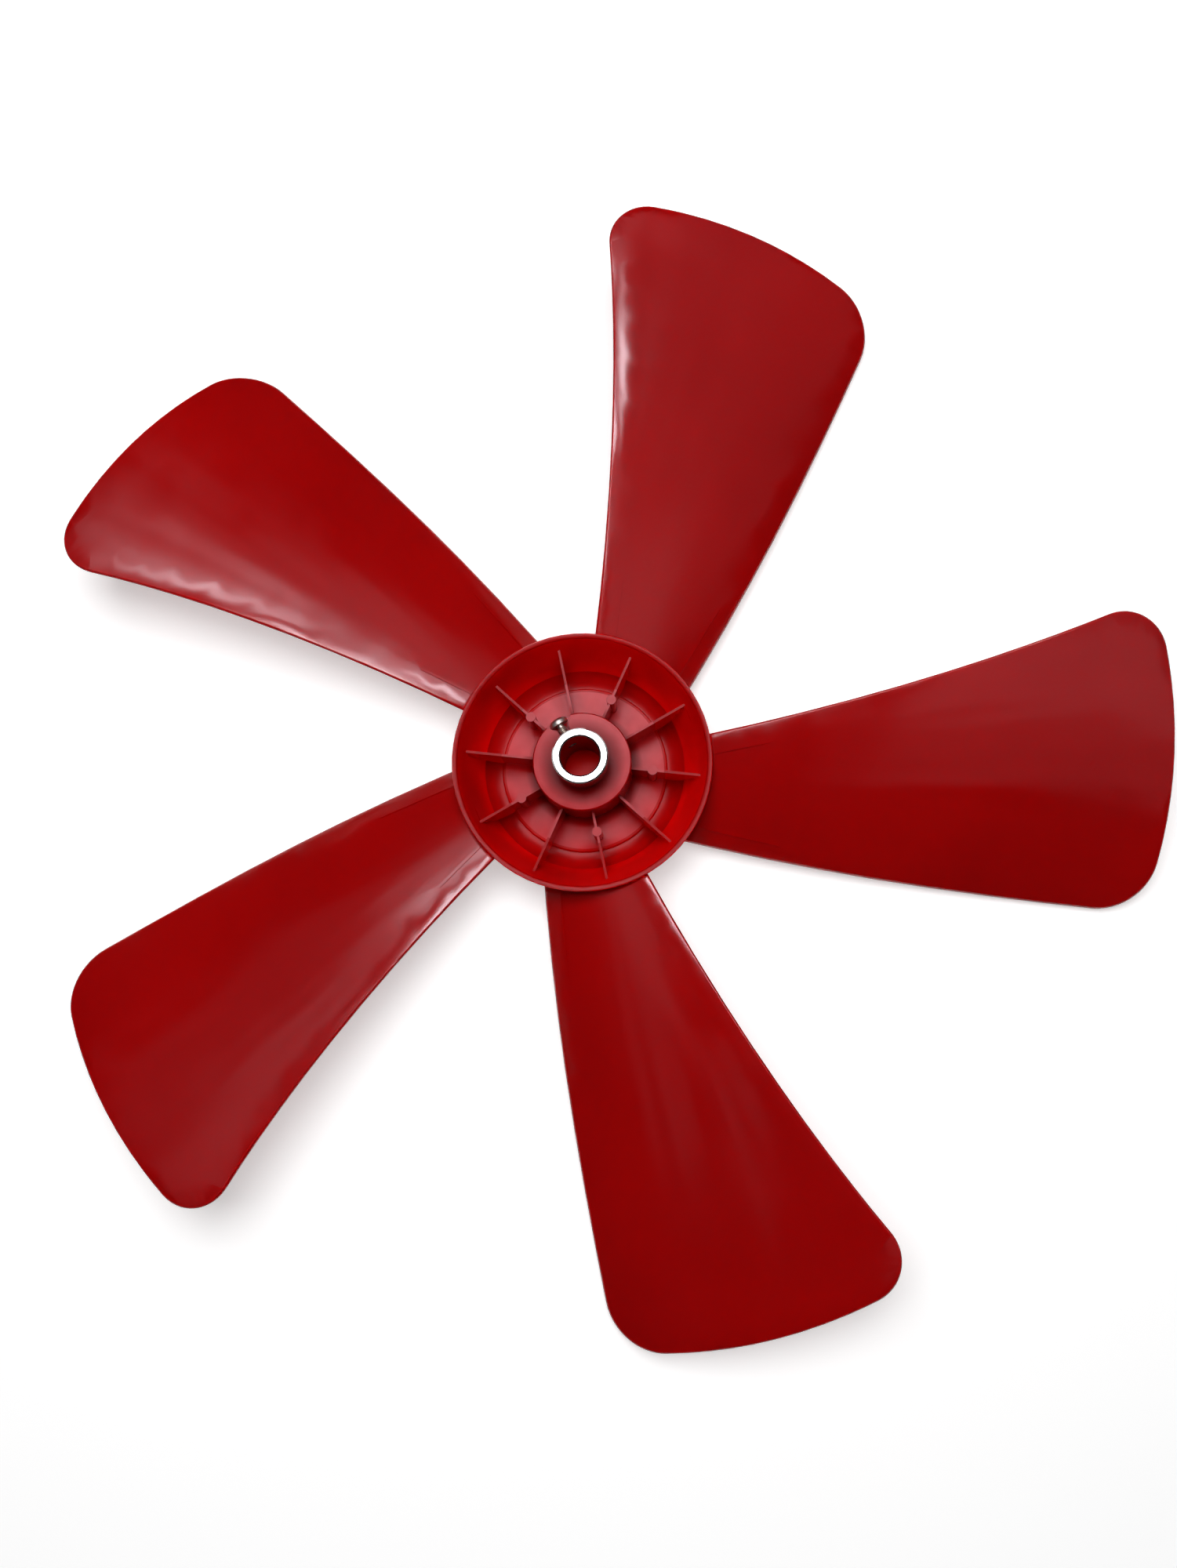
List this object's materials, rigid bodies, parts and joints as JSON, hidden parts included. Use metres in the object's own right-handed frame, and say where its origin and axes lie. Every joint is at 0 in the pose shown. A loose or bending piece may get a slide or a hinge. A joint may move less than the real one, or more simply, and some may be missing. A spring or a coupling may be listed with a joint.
{
  "type": "fan blade",
  "caption": "Moulded axial fan rotor with wide pitched blades round a ribbed cup hub, a metal bush for the shaft and a radial set screw that clamps it.",
  "frame": {"origin": "on the shaft axis, at the blind end of the bush's bore, where the tip of the shaft stops", "axes": "+Z along the shaft axis, out of the mouth of the bore, so the open back of the hub is up and its nose is down; +X and +Y across the axis"},
  "size_m": [0.3627, 0.3768, 0.0356],
  "materials": {
    "red_plastic": "glossy deep red moulded plastic",
    "bright_metal": "bright turned metal",
    "screw_steel": "bright plated steel"
  },
  "bodies": {
    "root": {"fan_rotor": "red_plastic", "shaft_bush": "bright_metal", "set_screw": "screw_steel"}
  },
  "joints": []
}
